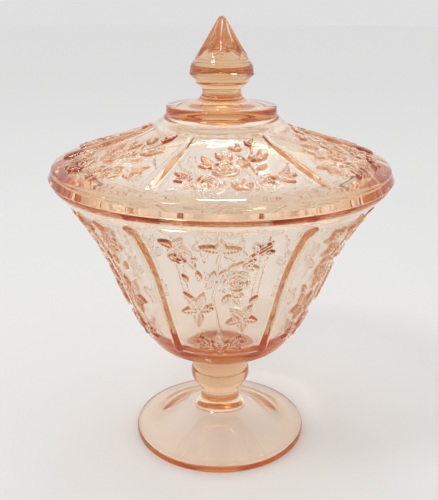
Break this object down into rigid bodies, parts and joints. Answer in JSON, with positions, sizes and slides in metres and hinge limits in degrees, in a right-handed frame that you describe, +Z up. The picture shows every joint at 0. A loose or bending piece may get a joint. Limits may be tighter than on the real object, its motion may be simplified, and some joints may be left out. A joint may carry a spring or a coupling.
{
  "type": "lidded candy dish",
  "caption": "Footed, bell-shaped pressed-glass candy dish with panelled walls and a domed lid that lifts off by a pointed, faceted knob.",
  "frame": {"origin": "centre of the foot's underside, on the surface that the dish stands on", "axes": "+Z up along the axis of the foot, the bowl and the knob; -Y is the front, where one of the bowl's panels is centred; +X to the right"},
  "size_m": [0.152, 0.152, 0.197],
  "materials": {
    "bowl_glass": "clear peach-pink pressed glass, fire-polished",
    "lid_glass": "clear peach-pink pressed glass, fire-polished"
  },
  "bodies": {
    "bowl": {"footed_bowl": "bowl_glass"},
    "lid": {"lid": "lid_glass"}
  },
  "joints": [
    {"name": "lid_lift", "type": "slide", "parent": "bowl", "child": "lid", "axis": [0, 0, 1], "range_m": [0, 0.1]}
  ]
}
